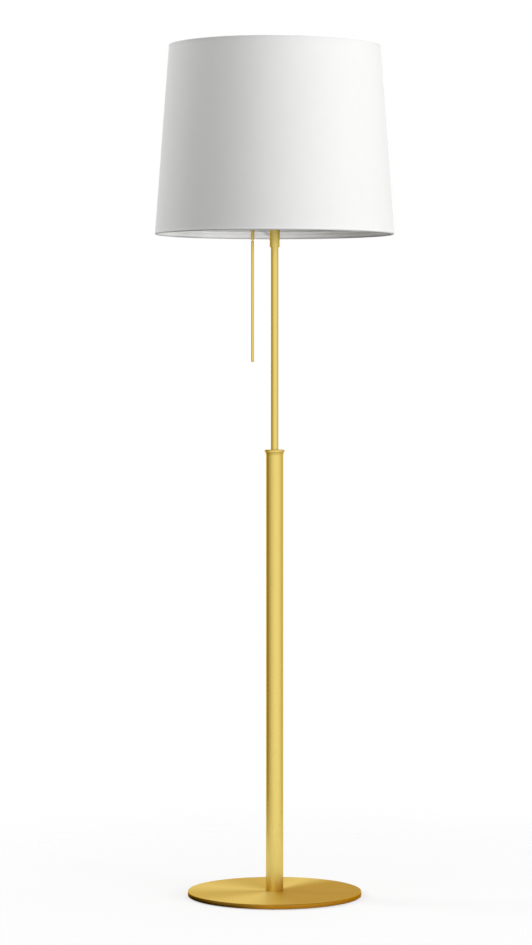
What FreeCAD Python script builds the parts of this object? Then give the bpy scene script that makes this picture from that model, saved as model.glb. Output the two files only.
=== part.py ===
import FreeCAD, Part
import math
import os

# Telescopic floor lamp. Millimetres, +Z up, origin on the floor at the centre of the base.
# A disc base carries a wide tube. A slim tube slides and turns in it on a piston, and carries a
# pull switch, a lampholder with its bulb, and a tapered drum shade. The pull hangs on the -X side.

# Fits and gaps
SEAT_FIT = 0.05          # radial gap between fixed pieces
SLIDING_FIT = 0.1        # radial gap where one piece slides or turns in another
FACE_GAP = 0.1           # axial gap between faces that turn on each other
END_GAP = 2.0            # what is left at both ends of the slide
SAME_POINT = 1e-6        # points nearer than this are one
FULL_TURN_DEG = 360.0
HEXAGON_SIDES = 6

# Base
PAD_RADIUS = 144.0
PAD_THICKNESS = 1.0
PAD_HOLE_RADIUS = 18.0
PLATE_RADIUS = 150.0
PLATE_THICKNESS = 8.0
PLATE_EDGE_ROUND = 0.8
BOLT_RADIUS = 5.0
BOLT_HOLE_CLEARANCE = 0.5
BOLT_HEAD_RADIUS = 8.5
BOLT_HEAD_HEIGHT = 3.5
BOLT_GRIP = 14.0         # thread that the foot plug takes
BOLT_KEY_FLATS = 6.0
BOLT_KEY_DEPTH = 2.0
WASHER_RADIUS = 11.0
WASHER_THICKNESS = 1.0
HEAD_RECESS = 0.3        # how far the bolt's head stays inside the plate
COUNTERBORE_CLEARANCE = 1.0

# Lower tube and what is at its foot
LOWER_TUBE_RADIUS = 15.0
LOWER_TUBE_WALL = 1.5
LOWER_TUBE_LENGTH = 753.0
FOOT_PLUG_HEIGHT = 18.0
INLET_HEIGHT = 28.0      # the lead's inlet above the base plate
GROMMET_WALL = 1.2
GROMMET_FLANGE = 2.0     # how far the flange stands out round the hole
GROMMET_FLANGE_THICKNESS = 2.0
GROMMET_INNER_LIP = 1.0
GROMMET_LEAD_RECESS = 3.0

# Lead
LEAD_RADIUS = 2.5
LEAD_CLEARANCE = 1.0     # round the lead in the nipple
GROMMET_LEAD_GAP = 0.3
INLET_LEAD_RISE = 12.0   # straight run between the inlet's bend and the coil
COIL_CLEARANCE = 2.5     # between the coil and the lower tube's bore

# Collar and guide at the top of the lower tube
COLLAR_HEIGHT = 10.0
COLLAR_LIP_RADIUS = 17.4
COLLAR_LIP_HEIGHT = 4.0
COLLAR_LIP_ROUND = 0.9
COLLAR_FLARE_OUT = 0.40  # share of the flare's width at its middle point
COLLAR_FLARE_UP = 0.55   # share of the flare's height there
COLLAR_TOP_THICKNESS = 2.0
COLLAR_MOUTH_GAP = 0.6
COLLAR_SPIGOT_LENGTH = 25.0
GUIDE_BUSH_WALL = 3.0

# Upper tube and its slide
NIPPLE_WALL = 1.45
UPPER_TUBE_WALL = 1.5
POLE_EXPOSED = 348.0     # slim tube between the collar and the ferrule, as the lamp stands
TRAVEL_UP = 150.0
PISTON_LENGTH = 40.0
PISTON_BORE_GAP = 0.3
FRICTION_RING_SECTION = 1.5
FRICTION_RING_INSET = 10.0
STOP_SLEEVE_WALL = 2.0
STOP_SLEEVE_LENGTH = 70.0
RETAINING_COLLAR_WALL = 3.4
RETAINING_COLLAR_HEIGHT = 6.0
TUBE_END_PROUD = 1.0     # slim tube below the retaining collar

# Neck
FERRULE_LENGTH = 37.0
FERRULE_WALL = 2.35
FERRULE_SHOULDER = 7.0
FERRULE_SKIRT_LENGTH = 11.0
FERRULE_SKIRT_STEP = 0.3
FERRULE_GROOVE_WIDTH = 1.0
FERRULE_GROOVE_DEPTH = 0.7
FERRULE_CHAMFER = 0.5
NIPPLE_GRIP = 15.0       # thread that the slim tube takes
NUT_HEIGHT = 4.0
NUT_FLATS = 14.0
NIPPLE_ABOVE_NUT = 1.5

# Pull switch
PULL_OFFSET = 38.0
PULL_TRAVEL = 6.0
SWITCH_HALF_WIDTH = 13.0
SWITCH_WALL = 1.6
SWITCH_FLOOR = 2.0
SWITCH_COVER_THICKNESS = 2.0
SWITCH_EDGE_ROUND = 1.2
SWITCH_BOSS_WALL = 3.0
SWITCH_HEADROOM = 1.7
GUIDE_STEM_WALL = 1.8
GUIDE_FLANGE = 1.7
GUIDE_FLANGE_THICKNESS = 1.2
GUIDE_NOSE_LENGTH = 3.0
GUIDE_SEAT_THICKNESS = 1.0
GUIDE_MOUTH_CHAMFER = 0.8
PIN_RADIUS = 1.2
PIN_FLANGE_RADIUS = 3.4
PIN_FLANGE_THICKNESS = 1.0
PIN_NECK_GAP = 3.8
SPRING_OUTER_RADIUS = 3.2
SPRING_WIRE = 0.5
SPRING_TURNS = 6
SPRING_SOLID_SPARE = 0.5
LEVER_WIDTH = 6.6
LEVER_THICKNESS = 1.4
LEVER_HUB_RADIUS = 2.8
LEVER_TIP_RADIUS = 1.0
LEVER_FORK_GAP = 0.5
LEVER_TAIL = 5.0
LEVER_PIN_RADIUS = 1.2
LEVER_PIN_SEAT = 0.9
CONTACT_BLOCK_LENGTH = 6.0
CONTACT_BLOCK_WIDTH = 16.0
CONTACT_BLOCK_HEIGHT = 9.0
CONTACT_LEAF = 0.4
CONTACT_LEAF_WIDTH = 3.0
CONTACT_LEAF_HEIGHT = 4.0
CONTACT_LEAF_OFFSET = 4.0
SWITCH_INNER_GAP = 1.0

# Pull below the switch
BALL_RADIUS = 1.7
BALL_STEM = 6.0          # pin between the guide's nose and the ball's centre
COUPLING_WALL = 1.1
COUPLING_BALL_GAP = 0.3
COUPLING_HALF_LENGTH = 8.5
COUPLING_BALL_INSET = 3.0
COUPLING_LEAN_DEG = 15.0     # how far the pin and the rod lean in the coupling's mouths
COUPLING_ROUND = 0.9
ROD_RADIUS = 2.5
ROD_NECK_RADIUS = 0.8
ROD_NECK_GAP = 1.2
ROD_LENGTH = 209.0
ROD_TOP_CHAMFER = 0.5

# Lampholder
BULB_CAP_RADIUS = 13.0
BULB_CAP_GAP = 0.4
THREAD_SHELL_WALL = 0.5
THREAD_SHELL_HEIGHT = 25.0
THREAD_SHELL_FOOT = 1.2
HOLDER_INNER_GAP = 1.8
HOLDER_WALL = 4.0
HOLDER_BODY_HEIGHT = 32.0
HOLDER_FLANGE_HEIGHT = 3.0
HOLDER_FLANGE = 1.3
HOLDER_LIP = 1.5
CAP_HEIGHT = 20.0
CAP_FOOT_RADIUS = 10.0
CAP_WALL = 1.8
CAP_FLOOR = 2.0
CAP_LEDGE = 1.6
CAP_SHOULDER_HEIGHT = 11.0
INSERT_THICKNESS = 10.0
INSERT_ABOVE_CAP = 2.0
HOLDER_CONTACT_HEIGHT = 3.0
HOLDER_CONTACT_RADIUS = 3.0
WIRE_RADIUS = 0.9
WIRE_SPREAD = 7.0
WIRE_OVERRUN = 3.0       # cut off level at both ends
LEAD_ABOVE_NIPPLE = 1.0

# Bulb
BULB_CONTACT_RADIUS = 4.0
BULB_CONTACT_HEIGHT = 1.2
BULB_INSULATOR_HEIGHT = 3.5
BULB_CAP_HEIGHT = 21.0
BULB_CAP_WALL = 0.5
GLASS_WALL = 0.9
GLASS_RADIUS = 30.0
GLASS_NECK_INSET = 0.6
GLASS_IN_CAP = 3.0
GLASS_NECK_HEIGHT = 8.0
GLASS_CENTRE_HEIGHT = 51.0   # ball's centre above the cap's rim
GLASS_BLEND_DEG = 35.0       # where the neck's curve meets the ball
GLASS_WAIST = 0.9

# Shade fitting
SHADE_RING_SLEEVE = 2.6
SHADE_RING_HEIGHT = 8.0
SHADE_RING_FLANGE = 5.5
SHADE_RING_FLANGE_THICKNESS = 2.5
SHADE_RING_RISE = 3.0    # lower ring above the lampholder's flange
SHADE_RING_GRIPS = 12
SHADE_RING_GRIP_RADIUS = 1.5
HUB_GAP = 0.4
HUB_THICKNESS = 2.0
HUB_PROUD = 6.0          # hub plate beyond the shade rings
ARM_RADIUS = 2.0
ARM_AZIMUTHS_DEG = {"rear": 90.0, "left": 210.0, "right": 330.0}
ARM_START_GAP = 1.0      # between the shade rings and the arm's inner end
ARM_FLAT_PROUD = 2.0     # flat part of the arm beyond the hub's edge
ARM_BEND_RADIUS = 8.0
ARM_NOTCH_GAP = 0.3

# Shade
SHADE_BELOW_NECK = 22.0  # rim of the shade above the ferrule's lower end
SHADE_HEIGHT = 325.0
SHADE_BOTTOM_RADIUS = 206.0
SHADE_TOP_RADIUS = 181.5
COVER_THICKNESS = 0.6
LINER_THICKNESS = 0.5
SHADE_WIRE_RADIUS = 1.3
HEM_WIRE_GAP = 0.4       # between the edge wire and the cloth rolled round it
HEM_WIDTH = 10.0

# Heights that follow from the sizes above, from the floor up
plate_top = PAD_THICKNESS + PLATE_THICKNESS
lower_tube_bore = LOWER_TUBE_RADIUS - LOWER_TUBE_WALL
lower_tube_top = plate_top + LOWER_TUBE_LENGTH
foot_plug_top = plate_top + FOOT_PLUG_HEIGHT
inlet_z = plate_top + INLET_HEIGHT
grommet_bore = LEAD_RADIUS + GROMMET_LEAD_GAP
grommet_radius = grommet_bore + GROMMET_WALL
grommet_face = LOWER_TUBE_RADIUS + GROMMET_FLANGE_THICKNESS
collar_top = lower_tube_top + COLLAR_HEIGHT
guide_bush_top = collar_top - COLLAR_TOP_THICKNESS
guide_bush_bottom = lower_tube_top - COLLAR_SPIGOT_LENGTH

# Radii of the slim tube, from the lead outwards
nipple_bore = LEAD_RADIUS + LEAD_CLEARANCE
nipple_radius = nipple_bore + NIPPLE_WALL
upper_tube_bore = nipple_radius + SEAT_FIT
upper_tube_radius = upper_tube_bore + UPPER_TUBE_WALL
guide_bush_radius = upper_tube_radius + SLIDING_FIT + GUIDE_BUSH_WALL
on_tube = upper_tube_radius + SEAT_FIT

# The slide, from the guide bush down
stop_sleeve_top = guide_bush_bottom - END_GAP - TRAVEL_UP
stop_sleeve_bottom = stop_sleeve_top - STOP_SLEEVE_LENGTH
piston_top = stop_sleeve_bottom - FACE_GAP
piston_bottom = piston_top - PISTON_LENGTH
ring_centre_radius = lower_tube_bore - SLIDING_FIT - FRICTION_RING_SECTION
ring_heights = (piston_bottom + FRICTION_RING_INSET, piston_top - FRICTION_RING_INSET)
retaining_collar_top = piston_bottom - FACE_GAP
retaining_collar_bottom = retaining_collar_top - RETAINING_COLLAR_HEIGHT
upper_tube_bottom = retaining_collar_bottom - TUBE_END_PROUD
coil_top = upper_tube_bottom
inlet_bend = lower_tube_bore - LEAD_RADIUS
coil_bottom = inlet_z + inlet_bend + INLET_LEAD_RISE
coil_radius = lower_tube_bore - COIL_CLEARANCE

# The neck and the switch, from the collar up
ferrule_bottom = collar_top + POLE_EXPOSED
ferrule_top = ferrule_bottom + FERRULE_LENGTH
upper_tube_top = ferrule_top - FERRULE_SHOULDER
ferrule_radius = on_tube + FERRULE_WALL
switch_bottom = ferrule_top
switch_floor_top = switch_bottom + SWITCH_FLOOR
spring_bottom = switch_floor_top + GUIDE_SEAT_THICKNESS
spring_length = PULL_TRAVEL + SPRING_TURNS * SPRING_WIRE + SPRING_SOLID_SPARE
pin_flange_z = spring_bottom + spring_length
pin_neck_z = pin_flange_z + PIN_FLANGE_THICKNESS
pin_top = pin_neck_z + PIN_NECK_GAP + PIN_FLANGE_THICKNESS
switch_cover_bottom = pin_top + SWITCH_HEADROOM
switch_top = switch_cover_bottom + SWITCH_COVER_THICKNESS
switch_boss_radius = nipple_radius + SEAT_FIT + SWITCH_BOSS_WALL
contact_block_right = -switch_boss_radius - SWITCH_INNER_GAP
contact_block_left = contact_block_right - CONTACT_BLOCK_LENGTH
lever_x = contact_block_left - SWITCH_INNER_GAP - LEVER_TAIL
lever_z = pin_neck_z + PIN_NECK_GAP / 2
lever_pin_half = SWITCH_HALF_WIDTH - SWITCH_WALL + LEVER_PIN_SEAT
guide_bore = PIN_RADIUS + SLIDING_FIT
guide_stem_radius = guide_bore + GUIDE_STEM_WALL
guide_nose_bottom = switch_bottom - GUIDE_FLANGE_THICKNESS - GUIDE_NOSE_LENGTH

# The pull, from the pin's ball down
upper_ball_z = guide_nose_bottom - BALL_STEM
coupling_middle_z = upper_ball_z + COUPLING_BALL_INSET - COUPLING_HALF_LENGTH
coupling_top = coupling_middle_z + COUPLING_HALF_LENGTH
coupling_bottom = coupling_middle_z - COUPLING_HALF_LENGTH
lower_ball_z = coupling_bottom + COUPLING_BALL_INSET
coupling_bore = BALL_RADIUS + COUPLING_BALL_GAP
coupling_radius = coupling_bore + COUPLING_WALL
rod_top = coupling_bottom - ROD_NECK_GAP
rod_bottom = rod_top - ROD_LENGTH

# The lampholder and the bulb, from the switch up
cap_bottom = switch_top
cap_top = cap_bottom + CAP_HEIGHT
nut_bottom = cap_bottom + CAP_FLOOR
nipple_bottom = upper_tube_top - NIPPLE_GRIP
nipple_top = nut_bottom + NUT_HEIGHT + NIPPLE_ABOVE_NUT
thread_shell_bore = BULB_CAP_RADIUS + BULB_CAP_GAP
thread_shell_radius = thread_shell_bore + THREAD_SHELL_WALL
holder_bore = thread_shell_radius + HOLDER_INNER_GAP
holder_radius = holder_bore + HOLDER_WALL
cap_radius = holder_radius + HOLDER_FLANGE
insert_radius = cap_radius - CAP_WALL - SEAT_FIT
insert_top = cap_top + INSERT_ABOVE_CAP
insert_bottom = insert_top - INSERT_THICKNESS
holder_flange_top = cap_top + HOLDER_FLANGE_HEIGHT
holder_top = cap_top + HOLDER_BODY_HEIGHT
bulb_bottom = insert_top + HOLDER_CONTACT_HEIGHT
bulb_insulator_bottom = bulb_bottom + BULB_CONTACT_HEIGHT
bulb_cap_bottom = bulb_insulator_bottom + BULB_INSULATOR_HEIGHT
bulb_cap_top = bulb_cap_bottom + BULB_CAP_HEIGHT
glass_centre_z = bulb_cap_top + GLASS_CENTRE_HEIGHT

# The shade fitting and the shade
lower_ring_bottom = holder_flange_top + SHADE_RING_RISE
hub_bottom = lower_ring_bottom + SHADE_RING_HEIGHT
hub_top = hub_bottom + HUB_THICKNESS
shade_ring_bore = holder_radius + SEAT_FIT
shade_ring_sleeve_radius = shade_ring_bore + SHADE_RING_SLEEVE
shade_ring_radius = shade_ring_sleeve_radius + SHADE_RING_FLANGE
hub_radius = shade_ring_radius + HUB_PROUD
shade_bottom = ferrule_bottom + SHADE_BELOW_NECK
shade_slant = math.atan2(SHADE_BOTTOM_RADIUS - SHADE_TOP_RADIUS, SHADE_HEIGHT)
shade_length = math.hypot(SHADE_BOTTOM_RADIUS - SHADE_TOP_RADIUS, SHADE_HEIGHT)
hem_roll = SHADE_WIRE_RADIUS + HEM_WIRE_GAP + COVER_THICKNESS


def point(radius, z):
    return FreeCAD.Vector(radius, 0, z)


def outline(start, *steps):
    """Closed wire in the XZ plane. A step is a point to go straight to, or an arc's pair (through, end)."""
    edges = []
    here = start
    for step in steps + (start,):
        if isinstance(step, tuple):
            through, end = step
            edges.append(Part.Arc(here, through, end).toShape())
            here = end
        elif here.distanceToPoint(step) > SAME_POINT:
            edges.append(Part.LineSegment(here, step).toShape())
            here = step
    return Part.Wire(edges)


def turned(start, *steps):
    """Solid of revolution about Z from its half section."""
    face = Part.Face(outline(start, *steps))
    return face.revolve(FreeCAD.Vector(0, 0, 0), FreeCAD.Vector(0, 0, 1), FULL_TURN_DEG)


def rod(radius, bottom, top, x=0.0):
    return Part.makeCylinder(radius, top - bottom, FreeCAD.Vector(x, 0, bottom))


def sleeve(outer, bore, bottom, top, x=0.0):
    return rod(outer, bottom, top, x).cut(rod(bore, bottom, top, x))


def cross_rod(radius, x, z, half_length):
    """Cylinder along Y, centred on the XZ plane."""
    start = FreeCAD.Vector(x, -half_length, z)
    return Part.makeCylinder(radius, 2 * half_length, start, FreeCAD.Vector(0, 1, 0))


def block(x_low, x_high, half_width, bottom, top):
    corner = FreeCAD.Vector(x_low, -half_width, bottom)
    return Part.makeBox(x_high - x_low, 2 * half_width, top - bottom, corner)


def hexagon(flats, bottom, top):
    corner_radius = flats / math.sqrt(3)
    corners = []
    for index in range(HEXAGON_SIDES + 1):
        angle = math.tau * index / HEXAGON_SIDES
        x = corner_radius * math.cos(angle)
        y = corner_radius * math.sin(angle)
        corners.append(FreeCAD.Vector(x, y, bottom))
    face = Part.Face(Part.makePolygon(corners))
    return face.extrude(FreeCAD.Vector(0, 0, top - bottom))


def swept(path, radius):
    """Round bar along a path of edges."""
    first = path[0]
    direction = first.tangentAt(first.FirstParameter)
    ring = Part.Wire(Part.makeCircle(radius, first.valueAt(first.FirstParameter), direction))
    return Part.Wire(path).makePipeShell([ring], True, False)


def spun(shape, azimuth):
    turned_shape = shape.copy()
    turned_shape.rotate(FreeCAD.Vector(0, 0, 0), FreeCAD.Vector(0, 0, 1), azimuth)
    return turned_shape


# Base

def base_pad():
    return sleeve(PAD_RADIUS, PAD_HOLE_RADIUS, 0, PAD_THICKNESS)


def counterbore():
    """Radius and depth of the recess for the bolt's head under the plate."""
    return WASHER_RADIUS + COUNTERBORE_CLEARANCE, HEAD_RECESS + BOLT_HEAD_HEIGHT + WASHER_THICKNESS


def base_plate():
    hole = BOLT_RADIUS + BOLT_HOLE_CLEARANCE
    recess_radius, recess_depth = counterbore()
    recess_top = PAD_THICKNESS + recess_depth
    bend = PLATE_EDGE_ROUND * (1 - math.sqrt(0.5))
    low = PAD_THICKNESS
    high = plate_top
    edge = PLATE_RADIUS
    inner_edge = edge - PLATE_EDGE_ROUND
    low_arc = (point(edge - bend, low + bend), point(edge, low + PLATE_EDGE_ROUND))
    high_arc = (point(edge - bend, high - bend), point(inner_edge, high))
    return turned(
        point(recess_radius, low),
        point(inner_edge, low),
        low_arc,
        point(edge, high - PLATE_EDGE_ROUND),
        high_arc,
        point(hole, high),
        point(hole, recess_top),
        point(recess_radius, recess_top),
    )


def foot_washer():
    top = PAD_THICKNESS + counterbore()[1]
    return sleeve(WASHER_RADIUS, BOLT_RADIUS + BOLT_HOLE_CLEARANCE, top - WASHER_THICKNESS, top)


def foot_bolt():
    head_bottom = PAD_THICKNESS + HEAD_RECESS
    head_top = head_bottom + BOLT_HEAD_HEIGHT
    head = rod(BOLT_HEAD_RADIUS, head_bottom, head_top)
    shank = rod(BOLT_RADIUS, head_top, plate_top + BOLT_GRIP)
    key = hexagon(BOLT_KEY_FLATS, head_bottom, head_bottom + BOLT_KEY_DEPTH)
    return head.fuse(shank).cut(key).removeSplitter()


def tube_foot_plug():
    return sleeve(lower_tube_bore - SEAT_FIT, BOLT_RADIUS + SEAT_FIT, plate_top, foot_plug_top)


# Lower tube, its inlet and the lead that it holds

def along_y(radius, y_low, y_high):
    """Cylinder along +Y at the inlet's height."""
    start = FreeCAD.Vector(0, y_low, inlet_z)
    return Part.makeCylinder(radius, y_high - y_low, start, FreeCAD.Vector(0, 1, 0))


def lower_tube():
    tube = sleeve(LOWER_TUBE_RADIUS, lower_tube_bore, plate_top, lower_tube_top)
    return tube.cut(along_y(grommet_radius + SEAT_FIT, 0, grommet_face))


def cord_grommet():
    inner_face = lower_tube_bore - GROMMET_INNER_LIP
    stem = along_y(grommet_radius, inner_face, grommet_face)
    flange = along_y(grommet_radius + GROMMET_FLANGE, 0, grommet_face)
    outside = rod(LOWER_TUBE_RADIUS + SEAT_FIT, plate_top, lower_tube_top)
    return stem.fuse(flange.cut(outside)).cut(along_y(grommet_bore, 0, grommet_face)).removeSplitter()


def inlet_lead():
    start = FreeCAD.Vector(0, grommet_face - GROMMET_LEAD_RECESS, inlet_z)
    bend_start = FreeCAD.Vector(0, inlet_bend, inlet_z)
    bend = inlet_bend * (1 - math.sqrt(0.5))
    bend_middle = FreeCAD.Vector(0, bend, inlet_z + bend)
    bend_end = FreeCAD.Vector(0, 0, inlet_z + inlet_bend)
    end = FreeCAD.Vector(0, 0, coil_bottom)
    path = [
        Part.LineSegment(start, bend_start).toShape(),
        Part.Arc(bend_start, bend_middle, bend_end).toShape(),
        Part.LineSegment(bend_end, end).toShape(),
    ]
    return swept(path, LEAD_RADIUS)


def slack_lead_coil():
    return rod(coil_radius, coil_bottom, coil_top)


# Collar and guide bush

def guide_collar():
    spigot = lower_tube_bore - SEAT_FIT
    seat = guide_bush_radius + SEAT_FIT
    mouth = upper_tube_radius + COLLAR_MOUTH_GAP
    lip_bottom = collar_top - COLLAR_LIP_HEIGHT
    bend = COLLAR_LIP_ROUND * (1 - math.sqrt(0.5))
    lip = COLLAR_LIP_RADIUS
    flare_width = lip - COLLAR_LIP_ROUND - LOWER_TUBE_RADIUS
    flare_height = lip_bottom - lower_tube_top
    flare_through = point(
        LOWER_TUBE_RADIUS + flare_width * COLLAR_FLARE_OUT,
        lower_tube_top + flare_height * COLLAR_FLARE_UP,
    )
    return turned(
        point(seat, guide_bush_bottom),
        point(spigot, guide_bush_bottom),
        point(spigot, lower_tube_top),
        point(LOWER_TUBE_RADIUS, lower_tube_top),
        (flare_through, point(lip - COLLAR_LIP_ROUND, lip_bottom)),
        (point(lip - bend, lip_bottom + bend), point(lip, lip_bottom + COLLAR_LIP_ROUND)),
        point(lip, collar_top - COLLAR_LIP_ROUND),
        (point(lip - bend, collar_top - bend), point(lip - COLLAR_LIP_ROUND, collar_top)),
        point(mouth, collar_top),
        point(mouth, guide_bush_top),
        point(seat, guide_bush_top),
    )


def guide_bush():
    return sleeve(guide_bush_radius, upper_tube_radius + SLIDING_FIT, guide_bush_bottom, guide_bush_top)


# Slide carriage

def friction_rings():
    rings = []
    for height in ring_heights:
        centre = FreeCAD.Vector(0, 0, height)
        rings.append(Part.makeTorus(ring_centre_radius, FRICTION_RING_SECTION, centre))
    return Part.makeCompound(rings)


def slide_piston():
    outer = lower_tube_bore - PISTON_BORE_GAP
    body = sleeve(outer, upper_tube_radius + SLIDING_FIT, piston_bottom, piston_top)
    groove_half = FRICTION_RING_SECTION + SEAT_FIT
    groove_floor = ring_centre_radius - groove_half
    for height in ring_heights:
        body = body.cut(sleeve(outer, groove_floor, height - groove_half, height + groove_half))
    return body


# Upper pole and neck

def upper_tube():
    return sleeve(upper_tube_radius, upper_tube_bore, upper_tube_bottom, upper_tube_top)


def retaining_collar():
    return sleeve(on_tube + RETAINING_COLLAR_WALL, on_tube, retaining_collar_bottom, retaining_collar_top)


def stop_sleeve():
    return sleeve(on_tube + STOP_SLEEVE_WALL, on_tube, stop_sleeve_bottom, stop_sleeve_top)


def upper_lead():
    return rod(LEAD_RADIUS, coil_top, nipple_top + LEAD_ABOVE_NIPPLE)


def neck_nipple():
    return sleeve(nipple_radius, nipple_bore, nipple_bottom, nipple_top)


def neck_nut():
    nut = hexagon(NUT_FLATS, nut_bottom, nut_bottom + NUT_HEIGHT)
    return nut.cut(rod(nipple_radius + SEAT_FIT, nut_bottom, nut_bottom + NUT_HEIGHT))


def neck_ferrule():
    skirt = ferrule_radius - FERRULE_SKIRT_STEP
    groove = ferrule_radius - FERRULE_GROOVE_DEPTH
    skirt_top = ferrule_bottom + FERRULE_SKIRT_LENGTH
    groove_top = skirt_top + FERRULE_GROOVE_WIDTH
    hole = nipple_radius + SEAT_FIT
    return turned(
        point(on_tube, ferrule_bottom),
        point(skirt - FERRULE_CHAMFER, ferrule_bottom),
        point(skirt, ferrule_bottom + FERRULE_CHAMFER),
        point(skirt, skirt_top),
        point(groove, skirt_top),
        point(groove, groove_top),
        point(ferrule_radius, groove_top),
        point(ferrule_radius, ferrule_top - FERRULE_CHAMFER),
        point(ferrule_radius - FERRULE_CHAMFER, ferrule_top),
        point(hole, ferrule_top),
        point(hole, upper_tube_top),
        point(on_tube, upper_tube_top),
    )


# Pull switch

def oblong(half_width, bottom, top):
    """Upright prism with round ends, one on the pole's axis and one on the pull's."""
    near = rod(half_width, bottom, top)
    far = rod(half_width, bottom, top, -PULL_OFFSET)
    return near.fuse(far).fuse(block(-PULL_OFFSET, 0, half_width, bottom, top)).removeSplitter()


def switch_housing():
    shell = oblong(SWITCH_HALF_WIDTH, switch_bottom, switch_cover_bottom)
    low_edges = [edge for edge in shell.Edges if edge.BoundBox.ZMax < switch_bottom + SEAT_FIT]
    shell = shell.makeFillet(SWITCH_EDGE_ROUND, low_edges)
    inside = oblong(SWITCH_HALF_WIDTH - SWITCH_WALL, switch_floor_top, switch_cover_bottom)
    boss = rod(switch_boss_radius, switch_floor_top, switch_cover_bottom)
    shell = shell.cut(inside).fuse(boss)
    shell = shell.cut(rod(nipple_radius + SEAT_FIT, switch_bottom, switch_cover_bottom))
    shell = shell.cut(rod(guide_stem_radius + SEAT_FIT, switch_bottom, switch_floor_top, -PULL_OFFSET))
    pin_hole = cross_rod(LEVER_PIN_RADIUS + SEAT_FIT, lever_x, lever_z, lever_pin_half + SEAT_FIT)
    return shell.cut(pin_hole).removeSplitter()


def switch_cover():
    plate = oblong(SWITCH_HALF_WIDTH, switch_cover_bottom, switch_top)
    return plate.cut(rod(nipple_radius + SEAT_FIT, switch_cover_bottom, switch_top))


def pull_guide():
    """Turned bush in the switch's floor, with a flange under it and the spring's seat above."""
    flange = guide_stem_radius + GUIDE_FLANGE
    flange_bottom = switch_bottom - GUIDE_FLANGE_THICKNESS
    bush = turned(
        point(guide_bore, guide_nose_bottom + GUIDE_MOUTH_CHAMFER),
        point(guide_bore + GUIDE_MOUTH_CHAMFER, guide_nose_bottom),
        point(guide_stem_radius, guide_nose_bottom),
        point(guide_stem_radius, flange_bottom),
        point(flange, flange_bottom),
        point(flange, switch_bottom),
        point(guide_stem_radius, switch_bottom),
        point(guide_stem_radius, switch_floor_top),
        point(flange, switch_floor_top),
        point(flange, spring_bottom),
        point(guide_bore, spring_bottom),
    )
    bush.translate(FreeCAD.Vector(-PULL_OFFSET, 0, 0))
    return bush


def pull_spring():
    """The coils' envelope: it shortens by the pull's travel."""
    bore = SPRING_OUTER_RADIUS - 2 * SPRING_WIRE
    return sleeve(SPRING_OUTER_RADIUS, bore, spring_bottom, spring_bottom + spring_length, -PULL_OFFSET)


def pull_pin():
    """Pin with a spool at its top, which the lever's fork sits in, and a ball at its foot."""
    neck_top = coupling_top + ROD_NECK_GAP
    stem = rod(PIN_RADIUS, neck_top, pin_top, -PULL_OFFSET)
    neck = rod(ROD_NECK_RADIUS, upper_ball_z, neck_top, -PULL_OFFSET)
    lower_flange = rod(PIN_FLANGE_RADIUS, pin_flange_z, pin_neck_z, -PULL_OFFSET)
    upper_flange = rod(PIN_FLANGE_RADIUS, pin_top - PIN_FLANGE_THICKNESS, pin_top, -PULL_OFFSET)
    ball = Part.makeSphere(BALL_RADIUS, FreeCAD.Vector(-PULL_OFFSET, 0, upper_ball_z))
    return stem.fuse([neck, lower_flange, upper_flange, ball]).removeSplitter()


def lever_pin():
    return cross_rod(LEVER_PIN_RADIUS, lever_x, lever_z, lever_pin_half - SEAT_FIT)


def switch_lever():
    """Rocker on its pin: a fork in the pull pin's neck at one end, a tail at the contacts' end."""
    half_width = LEVER_WIDTH / 2
    half_thick = LEVER_THICKNESS / 2
    hub = cross_rod(LEVER_HUB_RADIUS, lever_x, lever_z, half_width)
    arm = block(-PULL_OFFSET, lever_x, half_width, lever_z - half_thick, lever_z + half_thick)
    tail = block(lever_x, lever_x + LEVER_TAIL, half_width, lever_z - half_thick, lever_z + half_thick)
    tips = cross_rod(LEVER_TIP_RADIUS, -PULL_OFFSET, lever_z, half_width)
    slot_half = PIN_RADIUS + LEVER_FORK_GAP
    slot_end = -PULL_OFFSET + PIN_FLANGE_RADIUS + 2 * LEVER_FORK_GAP
    slot = block(-PULL_OFFSET - LEVER_TIP_RADIUS, slot_end, slot_half, lever_z - LEVER_TIP_RADIUS,
                 lever_z + LEVER_TIP_RADIUS)
    bore = cross_rod(LEVER_PIN_RADIUS + SLIDING_FIT, lever_x, lever_z, half_width)
    return hub.fuse([arm, tail, tips]).cut(slot).cut(bore).removeSplitter()


def switch_contact_block():
    return block(contact_block_left, contact_block_right, CONTACT_BLOCK_WIDTH / 2, switch_floor_top,
                 switch_floor_top + CONTACT_BLOCK_HEIGHT)


def switch_contacts():
    """Two leaf contacts that stand on the block."""
    bottom = switch_floor_top + CONTACT_BLOCK_HEIGHT
    middle = (contact_block_left + contact_block_right) / 2
    leaves = []
    for side in (-1, 1):
        leaf = block(middle - CONTACT_LEAF / 2, middle + CONTACT_LEAF / 2, CONTACT_LEAF_WIDTH / 2, bottom,
                     bottom + CONTACT_LEAF_HEIGHT)
        leaf.translate(FreeCAD.Vector(0, side * CONTACT_LEAF_OFFSET, 0))
        leaves.append(leaf)
    return Part.makeCompound(leaves)


# Pull below the switch

def ball_seat(ball_z, outwards):
    """Seat of a ball and its flared mouth. It opens upwards for 1 and downwards for -1."""
    ball = FreeCAD.Vector(0, 0, ball_z)
    lean = math.radians(COUPLING_LEAN_DEG)
    waist = (ROD_NECK_RADIUS + COUPLING_BALL_GAP) / math.cos(lean)
    mouth = waist + COUPLING_BALL_INSET * math.tan(lean)
    flare = Part.makeCone(waist, mouth, COUPLING_BALL_INSET, ball, FreeCAD.Vector(0, 0, outwards))
    return Part.makeSphere(coupling_bore, ball).fuse(flare)


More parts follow.
